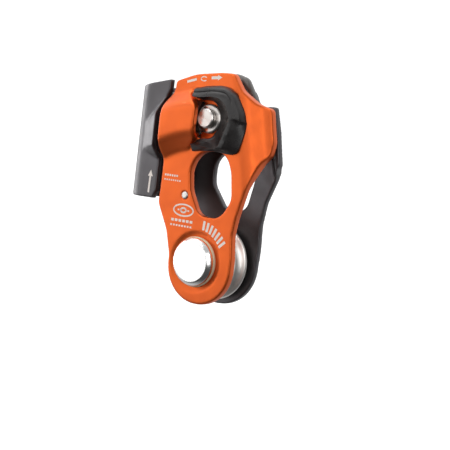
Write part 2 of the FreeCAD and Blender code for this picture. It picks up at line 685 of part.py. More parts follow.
def make_spring():
    """Torsion spring: three close turns in the cam's pocket."""
    wire = size("spring_wire_radius")
    radius = size("spring_radius")
    turns = 2.5
    pitch = size("spring_pitch")
    helix = Part.makeHelix(pitch, pitch * turns, radius)
    start = Vector(radius, 0, 0)
    circle = Part.Wire(Part.makeCircle(wire, start, Vector(0, 1, pitch / (2 * math.pi * radius))))
    coil = Part.Wire(helix.Edges).makePipeShell([circle], True, True)
    spring = doc.addObject("Part::Feature", "cam_spring")
    spring.Shape = coil
    middle = Vector(PIN[0], size("spring_front"), PIN[1])
    spring.Placement = Placement(middle, Rotation(Vector(1, 0, 0), -90))
    return spring


# ---- guard and rivet ------------------------------------------------------------------------

def make_guard():
    base = front_slab("guard_base", GUARD_OUTLINE, "guard_step", "mobile_front")
    crest = front_slab("guard_crest", GUARD_CREST, "guard_front", "guard_step")
    pieces = [base, crest]
    for i, peg in enumerate(PEGS, start=1):
        pieces.append(rod(f"peg_{i}", "peg_radius", "guard_step", "mobile_back", peg))
    return fuse("flange_guard", pieces)


def make_rivet():
    profile = [
        (0, "mobile_front"), ("rivet_shank", "mobile_front"), ("rivet_shank", "mobile_back"),
        ("rivet_tail_radius", "mobile_back"), ("rivet_tail_radius", "rivet_tail"),
        (0, "rivet_tail"),
    ]
    return turned("flange_rivet", profile, RIVET)


NODES = [
    make_fixed_flange(),
    make_axle(),
    make_cap(),
    washer("friction_washer", "friction_radius", "running_bore", "cap_back", "dish_floor"),
    make_thrust_washer("front_thrust_washer", -1),
    make_thrust_washer("rear_thrust_washer", 1),
    washer("axle_rear_washer", "axle_washer_radius", "tenon_bore", "fixed_back",
           "axle_washer_back"),
    make_cam_pin(),
    washer("pin_rear_washer", "pin_washer_radius", "pin_bore", "fixed_back", "pin_washer_back",
           PIN),
    washer("cam_washer", "cam_washer_radius", "journal_bore", "cam_washer_front",
           "cam_washer_back", PIN),
    rod("cam_stop_pin", "stop_radius", "stop_tip", "fixed_back", STOP),
    make_spring(),
    make_mobile_flange(),
    washer("flange_bush", "bush_radius", "running_bore", "dish_floor", "bush_back"),
    make_guard(),
    make_rivet(),
    make_sheave(),
    washer("sheave_bush", "sheave_bush_radius", "running_bore", "sheave_front", "sheave_half"),
    make_cam(),
    washer("cam_bush", "cam_bush_radius", "journal_bore", "cam_front", "trigger_back", PIN),
    make_trigger(),
    make_trigger_rivets(),
]
doc.recompute()

problems = []
for item in doc.Objects:
    if "Invalid" in item.State or "Error" in item.State:
        problems.append(f"{item.Label}: {item.State}")
for node in NODES:
    shape = node.Shape
    if shape.isNull() or not shape.isValid():
        problems.append(f"{node.Label}: shape is null or not valid")
if problems:
    raise SystemExit("\n".join(problems))

os.makedirs("parts", exist_ok=True)
for node in NODES:
    node.Shape.exportStep(f"parts/{node.Label}.step")
    box = node.Shape.BoundBox
    print(f"{node.Label:22s} solids {len(node.Shape.Solids)} volume {node.Shape.Volume:9.1f}",
          f"X {box.XMin:6.1f} {box.XMax:6.1f} Y {box.YMin:6.1f} {box.YMax:6.1f}",
          f"Z {box.ZMin:6.1f} {box.ZMax:6.1f}")
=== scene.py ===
"""Looks of a rope clamp with pulley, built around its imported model.

Lengths are in millimetres and become metres through MM, apart from the floor, the lights and the
camera's distance, which are in metres. +Z is up along the rope channel, +Y runs along the axles
away from the swinging flange, and the origin is on the sheave's axle.
"""

import json
import math

import bmesh
import bpy
from mathutils import Matrix, Vector
from mathutils.bvhtree import BVHTree


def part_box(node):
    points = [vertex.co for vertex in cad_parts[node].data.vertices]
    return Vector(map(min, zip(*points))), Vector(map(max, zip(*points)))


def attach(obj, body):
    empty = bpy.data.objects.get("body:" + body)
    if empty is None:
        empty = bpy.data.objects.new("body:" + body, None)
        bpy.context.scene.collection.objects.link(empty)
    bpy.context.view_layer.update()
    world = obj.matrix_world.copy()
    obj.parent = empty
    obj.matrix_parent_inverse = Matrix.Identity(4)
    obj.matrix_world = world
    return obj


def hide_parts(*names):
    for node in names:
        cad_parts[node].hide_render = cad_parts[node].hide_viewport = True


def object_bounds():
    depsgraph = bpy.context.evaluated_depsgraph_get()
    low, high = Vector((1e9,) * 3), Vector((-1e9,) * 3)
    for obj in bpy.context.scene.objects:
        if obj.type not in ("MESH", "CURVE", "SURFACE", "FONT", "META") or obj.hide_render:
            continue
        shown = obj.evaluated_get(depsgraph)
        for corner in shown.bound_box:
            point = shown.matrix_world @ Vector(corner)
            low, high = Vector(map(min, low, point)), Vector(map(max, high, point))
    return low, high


MM = 0.001
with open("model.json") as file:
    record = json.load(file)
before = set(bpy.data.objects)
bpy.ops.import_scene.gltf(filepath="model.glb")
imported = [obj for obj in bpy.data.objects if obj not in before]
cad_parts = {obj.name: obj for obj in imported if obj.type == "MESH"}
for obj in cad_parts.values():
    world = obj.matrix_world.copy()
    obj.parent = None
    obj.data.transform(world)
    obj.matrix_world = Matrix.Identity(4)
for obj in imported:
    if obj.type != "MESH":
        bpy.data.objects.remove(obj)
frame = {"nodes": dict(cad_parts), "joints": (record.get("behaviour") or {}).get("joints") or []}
cad_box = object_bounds()


def joint_centre(name):
    """(x, z) in millimetres of the hinge with this name."""
    for joint in frame["joints"]:
        if joint["name"] == name:
            return joint["pos_m"][0] / MM, joint["pos_m"][2] / MM
    raise KeyError(name)


def low(node):
    """Lower corner of a CAD node's box, in millimetres."""
    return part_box(node)[0] / MM


def high(node):
    """Upper corner of a CAD node's box, in millimetres."""
    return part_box(node)[1] / MM


AXLE = (0.0, 0.0)
PIN = joint_centre("cam_pivot")
FRONT = -11.4                              # front face of the swinging flange's plate
RIVET = ((low("flange_rivet").x + high("flange_rivet").x) / 2,
         (low("flange_rivet").z + high("flange_rivet").z) / 2)


# ---- materials ------------------------------------------------------------------------------

def shader(name, colour, metallic, roughness):
    """A principled material, its node tree and its surface node."""
    material = bpy.data.materials.new(name)
    material.use_nodes = True
    tree = material.node_tree
    surface = tree.nodes["Principled BSDF"]
    surface.inputs["Base Color"].default_value = (*colour, 1.0)
    surface.inputs["Metallic"].default_value = metallic
    surface.inputs["Roughness"].default_value = roughness
    material.diffuse_color = (*colour, 1.0)
    return material, tree, surface


def coordinates(tree, scale=(1.0, 1.0, 1.0)):
    """Object coordinates in millimetres, stretched by scale."""
    place = tree.nodes.new("ShaderNodeTexCoord")
    mapping = tree.nodes.new("ShaderNodeMapping")
    mapping.inputs["Scale"].default_value = [factor / MM for factor in scale]
    tree.links.new(place.outputs["Object"], mapping.inputs["Vector"])
    return mapping.outputs["Vector"]


def noise(tree, vector, scale, detail=3.0, roughness=0.55):
    """Noise value over the given coordinates."""
    node = tree.nodes.new("ShaderNodeTexNoise")
    node.inputs["Scale"].default_value = scale
    node.inputs["Detail"].default_value = detail
    node.inputs["Roughness"].default_value = roughness
    tree.links.new(vector, node.inputs["Vector"])
    return node.outputs["Fac"]


def spread(tree, value, low_value, high_value, start=0.3, end=0.7):
    """Maps a noise value to a range."""
    node = tree.nodes.new("ShaderNodeMapRange")
    node.inputs["From Min"].default_value = start
    node.inputs["From Max"].default_value = end
    node.inputs["To Min"].default_value = low_value
    node.inputs["To Max"].default_value = high_value
    tree.links.new(value, node.inputs["Value"])
    return node.outputs["Result"]


def tint(tree, surface, value, dark, light):
    """Base colour runs between two colours by a value."""
    node = tree.nodes.new("ShaderNodeMix")
    node.data_type = "RGBA"
    node.inputs["A"].default_value = (*dark, 1.0)
    node.inputs["B"].default_value = (*light, 1.0)
    tree.links.new(value, node.inputs["Factor"])
    tree.links.new(node.outputs["Result"], surface.inputs["Base Color"])
    return node


def bump(tree, surface, value, height):
    """Relief of the given height in millimetres."""
    node = tree.nodes.new("ShaderNodeBump")
    node.inputs["Distance"].default_value = height * MM
    node.inputs["Strength"].default_value = 1.0
    tree.links.new(value, node.inputs["Height"])
    tree.links.new(node.outputs["Normal"], surface.inputs["Normal"])


def anodised(name, dark, light, roughness, edge):
    """Bead-blasted, dyed aluminium: fine grain, faint clouding, and edges worn a shade lighter."""
    material, tree, surface = shader(name, light, 0.90, roughness)
    place = coordinates(tree)
    clouds = noise(tree, place, 0.06, 2.0)
    mixed = tint(tree, surface, spread(tree, clouds, 0.0, 1.0), dark, light)
    geometry = tree.nodes.new("ShaderNodeNewGeometry")
    worn = spread(tree, geometry.outputs["Pointiness"], 0.0, 1.0, 0.53, 0.60)
    scuffs = noise(tree, place, 0.9, 4.0, 0.7)
    patchy = tree.nodes.new("ShaderNodeMath")
    patchy.operation = "MULTIPLY"
    tree.links.new(worn, patchy.inputs[0])
    tree.links.new(spread(tree, scuffs, 0.0, 0.6, 0.45, 0.75), patchy.inputs[1])
    rubbed = tree.nodes.new("ShaderNodeMix")
    rubbed.data_type = "RGBA"
    rubbed.inputs["B"].default_value = (*edge, 1.0)
    tree.links.new(patchy.outputs["Value"], rubbed.inputs["Factor"])
    tree.links.new(mixed.outputs["Result"], rubbed.inputs["A"])
    tree.links.new(rubbed.outputs["Result"], surface.inputs["Base Color"])
    smears = noise(tree, place, 0.22, 3.0)
    tree.links.new(spread(tree, smears, roughness - 0.04, roughness + 0.05),
                   surface.inputs["Roughness"])
    surface.inputs["Coat Weight"].default_value = 0.35
    surface.inputs["Coat Roughness"].default_value = 0.45
    grain = noise(tree, place, 4.5, 2.0)
    bump(tree, surface, grain, 0.010)
    return material


def turned_metal(name, colour, roughness, centre, ring_height=0.006, stretch=0.0):
    """Turned metal: fine rings about an axis along Y; stretch draws its highlights along the radius."""
    material, tree, surface = shader(name, colour, 1.0, roughness)
    place = tree.nodes.new("ShaderNodeTexCoord")
    shifted = tree.nodes.new("ShaderNodeVectorMath")
    shifted.operation = "SUBTRACT"
    shifted.inputs[1].default_value = (centre[0] * MM, 0.0, centre[1] * MM)
    tree.links.new(place.outputs["Object"], shifted.inputs[0])
    flat = tree.nodes.new("ShaderNodeVectorMath")
    flat.operation = "MULTIPLY"
    flat.inputs[1].default_value = (1.0, 0.25, 1.0)
    tree.links.new(shifted.outputs["Vector"], flat.inputs[0])
    length = tree.nodes.new("ShaderNodeVectorMath")
    length.operation = "LENGTH"
    tree.links.new(flat.outputs["Vector"], length.inputs[0])
    rings = tree.nodes.new("ShaderNodeTexNoise")
    rings.noise_dimensions = "1D"
    rings.inputs["Scale"].default_value = 3.5 / MM
    rings.inputs["Detail"].default_value = 2.0
    tree.links.new(length.outputs["Value"], rings.inputs["W"])
    bump(tree, surface, rings.outputs["Fac"], ring_height)
    if stretch:
        outward = tree.nodes.new("ShaderNodeVectorMath")
        outward.operation = "MULTIPLY"
        outward.inputs[1].default_value = (1.0, 0.0, 1.0)
        tree.links.new(shifted.outputs["Vector"], outward.inputs[0])
        tree.links.new(outward.outputs["Vector"], surface.inputs["Tangent"])
        surface.inputs["Anisotropic"].default_value = stretch
    marks = noise(tree, coordinates(tree), 0.5, 3.0)
    tree.links.new(spread(tree, marks, roughness, roughness + 0.08), surface.inputs["Roughness"])
    return material


def satin_metal(name, dark, light, roughness, grain_height=0.02):
    """Tumbled, cast or drawn metal with a fine irregular skin."""
    material, tree, surface = shader(name, light, 1.0, roughness)
    place = coordinates(tree)
    clouds = noise(tree, place, 0.35, 3.0)
    tint(tree, surface, spread(tree, clouds, 0.0, 1.0), dark, light)
    tree.links.new(spread(tree, clouds, roughness + 0.06, roughness - 0.04),
                   surface.inputs["Roughness"])
    bump(tree, surface, noise(tree, place, 2.6, 3.0), grain_height)
    return material


def moulded(name, dark, light, roughness, grain_height=0.015):
    """Moulded plastic with a fine spark-eroded grain."""
    material, tree, surface = shader(name, light, 0.0, roughness)
    place = coordinates(tree)
    clouds = noise(tree, place, 0.18, 2.0)
    tint(tree, surface, spread(tree, clouds, 0.0, 1.0), dark, light)
    tree.links.new(spread(tree, clouds, roughness - 0.04, roughness + 0.06),
                   surface.inputs["Roughness"])
    bump(tree, surface, noise(tree, place, 5.0, 2.0), grain_height)
    return material


def plain(name, colour, roughness):
    """Laser-bleached marking: pale, dull and faintly speckled."""
    material, tree, surface = shader(name, colour, 0.0, roughness)
    speckle = noise(tree, coordinates(tree), 3.0, 2.0)
    faded = tuple(channel * 0.88 for channel in colour)
    tint(tree, surface, spread(tree, speckle, 0.0, 1.0), faded, colour)
    return material


ORANGE = anodised("orange_anodised", (0.67, 0.104, 0.010), (0.74, 0.120, 0.012), 0.40,
                  (0.84, 0.26, 0.11))
GREY = anodised("grey_anodised", (0.078, 0.073, 0.077), (0.096, 0.090, 0.096), 0.40,
                (0.30, 0.29, 0.29))
TRIGGER_GREY = anodised("trigger_anodised", (0.11, 0.105, 0.10), (0.14, 0.13, 0.125), 0.36,
                        (0.40, 0.39, 0.38))
PLASTIC = moulded("guard_plastic", (0.012, 0.0100, 0.0100), (0.018, 0.015, 0.015), 0.31)
CREAM = moulded("cream_plastic", (0.60, 0.49, 0.33), (0.70, 0.60, 0.43), 0.45, 0.008)
STEEL_AXLE = turned_metal("turned_steel_axle", (0.86, 0.86, 0.85), 0.17, AXLE)
STEEL_PIN = turned_metal("turned_steel_pin", (0.64, 0.60, 0.57), 0.26, PIN, 0.0015, 0.85)
SHEAVE_METAL = turned_metal("turned_aluminium", (0.94, 0.91, 0.87), 0.38, AXLE)
CAST_STEEL = satin_metal("cast_steel", (0.34, 0.33, 0.32), (0.46, 0.45, 0.44), 0.36)
WIRE_STEEL = satin_metal("spring_wire", (0.55, 0.54, 0.52), (0.66, 0.65, 0.63), 0.26, 0.006)
BRONZE = satin_metal("bearing_bronze", (0.50, 0.33, 0.15), (0.60, 0.42, 0.20), 0.34, 0.01)
MARKING = plain("laser_marking", (0.84, 0.76, 0.70), 0.55)


# ---- mesh helpers ---------------------------------------------------------------------------

def add_object(name, mesh, material, body, replaced=()):
    """Links a mesh as a piece of the object, with its material and body, and hides the CAD parts it
    replaces.
    """
    piece = bpy.data.objects.new(name, mesh)
    bpy.context.scene.collection.objects.link(piece)
    mesh.materials.clear()
    mesh.materials.append(material)
    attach(piece, body)
    if replaced:
        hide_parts(*replaced)
    return piece


def shade(work, sharp_angle):
    """Smooth faces, with edges sharper than an angle kept crisp."""
    for face in work.faces:
        face.smooth = True
    for edge in work.edges:
        turned_by = edge.calc_face_angle(0.0)
        edge.smooth = turned_by < math.radians(sharp_angle)


def evaluated(rough):
    """The mesh that an object's modifiers make; the object itself goes."""
    bpy.context.view_layer.update()
    result = bpy.data.meshes.new_from_object(
        rough.evaluated_get(bpy.context.evaluated_depsgraph_get()))
    bpy.data.objects.remove(rough)
    return result


BEVEL_ABOVE = 28.0                         # degrees between faces


def softened(node, width, material, body, segments=3):
    """A CAD node's shape with its sharp edges rounded by a small bevel."""
    work = bmesh.new()
    work.from_mesh(frame["nodes"][node].data)
    bmesh.ops.remove_doubles(work, verts=work.verts, dist=0.002 * MM)
    bmesh.ops.dissolve_limit(work, angle_limit=math.radians(0.6), verts=work.verts,
                             edges=work.edges, delimit={"NORMAL"})
    mesh = bpy.data.meshes.new(node + "_soft")
    for face in work.faces:
        face.smooth = True
    work.to_mesh(mesh)
    work.free()
    rough = bpy.data.objects.new(node + "_rough", mesh)
    bpy.context.scene.collection.objects.link(rough)
    bevel = rough.modifiers.new("round", "BEVEL")
    bevel.width = width * MM
    bevel.segments = segments
    bevel.limit_method = "ANGLE"
    bevel.angle_limit = math.radians(BEVEL_ABOVE)
    bevel.use_clamp_overlap = False
    bevel.harden_normals = True
    bevel.miter_outer = "MITER_ARC"
    return add_object(node + "_piece", evaluated(rough), material, body, (node,))


AHEAD = -30.0                              # y from which depths are read, clear of every piece
STEP_IN = 0.7                              # how far inside the outline a depth is read
NO_SKIN = 9.0                              # depth given where nothing lies in front
FRONT_ZONE = 2.6                           # depth at which the front smoothing has faded out
FRONT_FADE = 1.4                           # over what depth it fades


def depths_from_front(mesh):
    """How far each vertex lies behind the skin that faces the front, in millimetres."""
    tree = BVHTree.FromPolygons([vertex.co for vertex in mesh.vertices],
                                [polygon.vertices for polygon in mesh.polygons])
    depths = []
    for vertex in mesh.vertices:
        inward = Vector((vertex.normal.x, 0.0, vertex.normal.z)) * (STEP_IN * MM)
        start = vertex.co - inward
        start.y = AHEAD * MM
        hit = tree.ray_cast(start, Vector((0.0, 1.0, 0.0)))[0]
        depths.append((vertex.co.y - hit.y) / MM if hit else NO_SKIN)
    return depths


def remeshed(node, voxel, rounds, front_rounds, kept, material, body):
    """A CAD node's shape as one even skin, eased by smoothing, most of all on its front edges."""
    rough = bpy.data.objects.new(node + "_rough", frame["nodes"][node].data.copy())
    bpy.context.scene.collection.objects.link(rough)
    grid = rough.modifiers.new("grid", "REMESH")
    grid.mode = "VOXEL"
    grid.voxel_size = voxel * MM
    even = bpy.data.objects.new(node + "_even", evaluated(rough))
    bpy.context.scene.collection.objects.link(even)
    group = even.vertex_groups.new(name="front")
    for i, depth in enumerate(depths_from_front(even.data)):
        weight = (FRONT_ZONE - depth) / FRONT_FADE
        if weight > 0.0:
            group.add([i], min(weight, 1.0), "REPLACE")
    front = even.modifiers.new("front", "SMOOTH")
    front.factor = 0.5
    front.iterations = front_rounds
    front.vertex_group = "front"
    ease = even.modifiers.new("ease", "SMOOTH")
    ease.factor = 0.5
    ease.iterations = rounds
    thin = even.modifiers.new("thin", "DECIMATE")
    thin.ratio = kept
    result = evaluated(even)
    for face in result.polygons:
        face.use_smooth = True
    return add_object(node + "_piece", result, material, body, (node,))


def arc_profile(profile, steps=4):
    """Rounds the corners of a (radius, y, corner) line; entries without a corner stay sharp."""
    points = []
    count = len(profile)
    for i, entry in enumerate(profile):
        here = Vector(entry[:2])
        corner = entry[2] if len(entry) > 2 else 0.0
        if corner <= 0 or i in (0, count - 1):
            points.append(here)
            continue
        before = Vector(profile[i - 1][:2]) - here
        after = Vector(profile[i + 1][:2]) - here
        reach = min(corner, before.length * 0.49, after.length * 0.49)
        first = here + before.normalized() * reach
        last = here + after.normalized() * reach
        for step in range(steps + 1):
            t = step / steps
            points.append(first * (1 - t) ** 2 + here * (2 * t * (1 - t)) + last * t ** 2)
    return points


def lathe(name, centre, profile, material, body, replaced=(), segments=96, closed=False):
    """Turns a (radius, y, corner) profile about an axis along Y through centre (x, z)."""
    line = arc_profile(profile + profile[:1] if closed else profile)
    if closed:
        line = line[:-1]
    work = bmesh.new()
    rings = []
    for radius, y in line:
        if radius < 1e-6:
            rings.append([work.verts.new((centre[0] * MM, y * MM, centre[1] * MM))])
            continue
        ring = []
        for i in range(segments):
            turn = 2 * math.pi * i / segments
            x = centre[0] + radius * math.cos(turn)
            z = centre[1] + radius * math.sin(turn)
            ring.append(work.verts.new((x * MM, y * MM, z * MM)))
        rings.append(ring)
    pairs = list(zip(rings, rings[1:]))
    if closed:
        pairs.append((rings[-1], rings[0]))
    for first, second in pairs:
        for i in range(segments):
            j = (i + 1) % segments
            corners = [first[i % len(first)], first[j % len(first)],
                       second[j % len(second)], second[i % len(second)]]
            unique = list(dict.fromkeys(corners))
            if len(unique) > 2:
                work.faces.new(unique)
    bmesh.ops.recalc_face_normals(work, faces=work.faces)
    shade(work, 30.0)
    mesh = bpy.data.meshes.new(name)
    work.to_mesh(mesh)
    work.free()
    return add_object(name, mesh, material, body, replaced)


def ring_profile(inner, outer, front, back, corner):
    """Closed section of a washer or bush."""
    return [(inner, front, corner * 0.5), (outer, front, corner), (outer, back, corner),
            (inner, back, corner * 0.5)]


def washer(node, centre, inner, corner, material, body):
    """A flat ring that fills its CAD node's box, with softened rims."""
    outer = (high(node).x - low(node).x) / 2
    section = ring_profile(inner, outer, low(node).y, high(node).y, corner)
    return lathe(node + "_piece", centre, section, material, body, (node,), closed=True)


# ---- flanges --------------------------------------------------------------------------------

remeshed("mobile_flange", 0.30, 7, 36, 0.35, ORANGE, "mobile_side")
remeshed("fixed_flange", 0.34, 7, 10, 0.35, GREY, "fixed_side")
softened("cam", 0.3, CAST_STEEL, "cam", segments=2)
softened("cam_trigger", 0.6, TRIGGER_GREY, "cam")
softened("trigger_rivets", 0.15, CAST_STEEL, "cam", segments=2)


# ---- guard ----------------------------------------------------------------------------------

# Sections round the pin's window, from the upper arm's end to the lower arm's end. Each has the
# inner foot, the crest, the land's far side, the shoulder and the outer foot, as (x, z) or
# (x, z, y) where the level along Y changes from section to section.
GUARD_SECTIONS = [
    ((-9.2, 72.6), (-9.1, 73.0), (-9.1, 73.7, -15.1), (-9.2, 76.4, -13.9), (-9.4, 77.2)),
    ((-6.2, 72.2), (-6.0, 72.9), (-5.9, 73.7, -15.1), (-5.9, 76.8, -13.9), (-6.2, 77.7)),
    ((-3.6, 72.2), (-2.9, 73.1), (-2.8, 74.0, -15.1), (-2.8, 77.3, -13.9), (-3.2, 78.3)),
    ((-1.0, 72.1), (0.7, 73.5), (0.8, 74.6, -15.1), (0.9, 77.6, -13.9), (0.6, 78.6)),
    ((1.3, 71.0), (4.2, 73.3), (4.6, 74.6, -15.1), (5.0, 77.6, -13.9), (4.8, 78.8)),
    ((2.8, 69.5), (6.8, 72.4), (7.9, 74.0, -15.1), (8.9, 77.0, -14.1), (9.0, 78.0)),
    ((3.8, 67.9), (9.2, 70.7), (10.3, 72.4, -15.2), (12.3, 74.8, -14.5), (12.6, 75.6)),
    ((4.5, 66.3), (10.9, 68.3), (11.7, 69.2, -15.2), (14.5, 71.2, -14.6), (15.1, 72.0)),
    ((4.8, 65.0), (12.0, 65.9), (13.0, 66.5, -15.2), (16.6, 67.6, -14.5), (17.3, 67.9)),
    ((4.9, 64.2), (12.6, 64.4), (13.8, 64.8, -15.2), (17.6, 64.4, -14.5), (18.4, 64.2)),
    ((4.9, 63.7), (12.5, 63.8), (13.9, 64.1, -15.2), (17.5, 63.6, -13.2), (18.7, 63.3)),
    ((4.3, 60.8), (11.5, 60.6), (13.3, 60.4, -15.2), (17.2, 60.0, -12.9), (18.8, 60.0)),
    ((3.7, 59.4), (10.9, 58.8), (12.7, 58.4, -15.2), (16.8, 57.4, -12.8), (18.5, 57.2)),
    ((2.7, 57.9), (10.0, 56.4), (11.8, 55.9, -15.2), (16.0, 54.2, -12.8), (17.8, 53.4)),
    ((1.6, 56.5), (9.2, 54.2), (11.0, 53.6, -15.2), (15.0, 51.9, -12.8), (16.6, 50.6)),
    ((0.2, 55.6), (8.3, 52.3), (10.0, 51.6, -15.1), (13.0, 50.5, -12.9), (13.9, 49.3)),
    ((-1.2, 55.2), (6.4, 51.1), (7.8, 50.7, -14.9), (9.0, 50.2, -13.1), (9.4, 49.4)),
    ((-3.2, 54.9), (2.6, 51.3), (2.9, 50.8, -14.6), (3.2, 50.4, -13.6), (3.6, 49.9)),
    ((-5.4, 54.6), (-2.0, 51.7), (-2.0, 51.1, -14.4), (-2.1, 50.3, -13.6), (-2.4, 49.5)),
    ((-8.2, 53.2), (-7.2, 51.9), (-7.3, 51.2, -14.3), (-7.5, 50.1, -13.5), (-7.9, 48.9)),
]
GUARD_CREST_LEVEL = -15.4
GUARD_WALL = [(0.0, -10.9), (0.34, -11.7), (0.66, -13.1), (0.90, -14.8)]    # (share, y) up the wall
GUARD_SKIRT = 0.9                          # upright edge at the foot
GUARD_SINK = 0.05                          # how far the foot sits into what carries it
GUARD_BEVEL = 0.22
GUARD_SHARP = 24.0                         # degrees above which an edge is bevelled
GUARD_STEPS = 3                            # rows between two sections
RECESS_RADIUS = 9.25                       # how far the guard reaches in the well about the pin
RECESS_FLOOR = -8.5                        # its foot there
RECESS_WALL = 0.3                          # least thickness of that part
GROOVE_DEPTH = 0.32                        # fine line along the upper arm's outer slope
GROOVE_ABOVE = 71.0                        # z above which the groove is cut
FLANGE_SKIN = BVHTree.FromPolygons(
    [vertex.co for vertex in frame["nodes"]["mobile_flange"].data.vertices],
    [polygon.vertices for polygon in frame["nodes"]["mobile_flange"].data.polygons])


def skin_level(x, z):
    """Level along Y of the swinging flange's front skin, no further forward than its plate."""
    hit = FLANGE_SKIN.ray_cast(Vector((x, FRONT - 0.1, z)) * MM, Vector((0.0, 1.0, 0.0)))[0]
    return hit.y / MM if hit else FRONT


def guard_section(inner, crest, land, shoulder, foot):
    """One closed section of the guard, as points (x, y, z)."""
    arm = Vector(inner) - Vector(PIN)
    in_recess = arm.length < RECESS_RADIUS - 0.1
    under = Vector(PIN) + arm.normalized() * max(RECESS_RADIUS, arm.length + RECESS_WALL)
    floor = RECESS_FLOOR if in_recess else FRONT
    points = [(inner[0], floor, inner[1])]
    for share, y in GUARD_WALL:
        x = inner[0] + (crest[0] - inner[0]) * share
        z = inner[1] + (crest[1] - inner[1]) * share
        points.append((x, min(y, floor - 0.2), z))
    points.append((crest[0], GUARD_CREST_LEVEL, crest[1]))
    points.append((land[0], land[2], land[1]))
    groove = GROOVE_DEPTH if land[1] > GROOVE_ABOVE else 0.0
    for share, dip in ((0.38, 0.0), (0.46, groove), (0.56, 0.0)):
        x = land[0] + (shoulder[0] - land[0]) * share
        z = land[1] + (shoulder[1] - land[1]) * share
        points.append((x, land[2] + (shoulder[2] - land[2]) * share + dip, z))
    points.append((shoulder[0], shoulder[2], shoulder[1]))
    level = skin_level(*foot)
    points.append((foot[0], level - GUARD_SKIRT, foot[1]))
    points.append((foot[0], level + GUARD_SINK, foot[1]))
    points.append((under.x, FRONT + GUARD_SINK, under.y))
    points.append((under.x, floor + 0.02, under.y))
    return points


def between(before, first, second, after, t):
    """A point on the smooth curve that passes first and second (Catmull-Rom)."""
    a = 2 * first
    b = second - before
    c = 2 * before - 5 * first + 4 * second - after
    d = 3 * first - before - 3 * second + after
    return 0.5 * (a + b * t + c * t * t + d * t ** 3)


def make_guard():
    """The C-shaped plastic guard, lofted through its sections."""
    sections = [[Vector(point) for point in guard_section(*entry)] for entry in GUARD_SECTIONS]
    rows = []
    last = len(sections) - 1
    for i in range(last):
        ends = [sections[max(i - 1, 0)], sections[i], sections[i + 1],
                sections[min(i + 2, last)]]
        for step in range(GUARD_STEPS):
            t = step / GUARD_STEPS
            rows.append([between(*points, t) for points in zip(*ends)])
    rows.append(sections[last])
    work = bmesh.new()
    grid = [[work.verts.new(point * MM) for point in row] for row in rows]
    size = len(grid[0])
    for first, second in zip(grid, grid[1:]):
        for i in range(size):
            j = (i + 1) % size
            work.faces.new((first[i], first[j], second[j], second[i]))
    work.faces.new(grid[0])
    work.faces.new(grid[-1][::-1])
    bmesh.ops.remove_doubles(work, verts=work.verts, dist=0.02 * MM)
    bmesh.ops.recalc_face_normals(work, faces=work.faces)
    sharp = [edge for edge in work.edges if edge.calc_face_angle(0.0) > math.radians(GUARD_SHARP)]
    bmesh.ops.bevel(work, geom=sharp, offset=GUARD_BEVEL * MM, segments=2, affect="EDGES",
                    profile=0.6, clamp_overlap=True)
    shade(work, 22.0)
    mesh = bpy.data.meshes.new("flange_guard_piece")
    work.to_mesh(mesh)
    work.free()
    add_object("flange_guard_piece", mesh, PLASTIC, "mobile_side",
               ("flange_guard",))


make_guard()


# ---- spring ---------------------------------------------------------------------------------

def make_spring():
    """Torsion spring: close turns of round wire, without the legs that sit in drilled holes."""
    wire, radius, turns, pitch = 0.65, 10.2, 2.5, 1.35
    start = low("cam_spring").y + wire
    curve = bpy.data.curves.new("cam_spring_piece", "CURVE")
    curve.dimensions = "3D"
    curve.bevel_depth = wire * MM
    curve.bevel_resolution = 3
    curve.resolution_u = 3
    line = curve.splines.new("NURBS")
    per_turn = 24
    count = int(turns * per_turn)
    line.points.add(count)
    for i, point in enumerate(line.points):
        turn = 2 * math.pi * i / per_turn
        x = PIN[0] + radius * math.cos(turn)
        z = PIN[1] - radius * math.sin(turn)
        y = start + pitch * i / per_turn
        point.co = (x * MM, y * MM, z * MM, 1.0)
    line.order_u = 4
    line.use_endpoint_u = True
    curve.use_fill_caps = True
    piece = bpy.data.objects.new("cam_spring_piece", curve)
    bpy.context.scene.collection.objects.link(piece)
    curve.materials.append(WIRE_STEEL)
    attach(piece, "fixed_side")
    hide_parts("cam_spring")


make_spring()


# ---- turned parts ---------------------------------------------------------------------------

lathe("axle_cap_piece", AXLE, [
    (0.0, -14.72), (7.2, -14.74), (8.9, -14.8, 0.4), (9.5, -14.6, 0.4), (10.75, -13.3, 0.5),
    (10.9, -12.6, 0.5), (10.9, -11.75, 0.3), (10.3, -11.7), (4.1, -11.7),
], STEEL_AXLE, "fixed_side", ("axle_cap",), segments=128)

lathe("pulley_axle_piece", AXLE, [
    (0.0, -14.2), (4.0, -14.2, 0.3), (4.0, -11.7), (6.0, -11.7, 0.3), (6.0, 7.8),
    (5.0, 7.8), (5.0, 11.6), (8.8, 11.6, 0.2), (8.8, 12.5, 0.5), (7.6, 13.6, 0.6),
    (3.4, 13.6, 0.5), (2.6, 13.1, 0.4), (0.0, 13.0),
], STEEL_AXLE, "fixed_side", ("pulley_axle",))

lathe("cam_pin_piece", PIN, [
    (0.0, -13.08), (3.4, -13.22, 0.2), (3.75, -13.3, 0.1), (4.45, -12.85, 0.2),
    (4.45, -11.35, 0.25), (4.05, -10.9, 0.2), (3.9, -10.9, 0.1), (3.9, -10.5, 0.1),
    (5.9, -10.5, 0.4), (6.6, -9.9, 0.4), (6.6, -8.9, 0.3), (6.2, -8.5, 0.2), (4.0, -8.5, 0.2),
    (4.0, -5.7, 0.2), (6.6, -5.7, 0.2), (6.6, -5.1, 0.2), (5.0, -5.1), (5.0, 7.8), (4.0, 7.8),
    (4.0, 11.5), (6.0, 11.5, 0.2), (6.0, 12.4, 0.4), (5.0, 13.2, 0.5), (2.2, 13.2, 0.4),
    (1.7, 12.8, 0.3), (0.0, 12.7),
], STEEL_PIN, "fixed_side", ("cam_pin",))

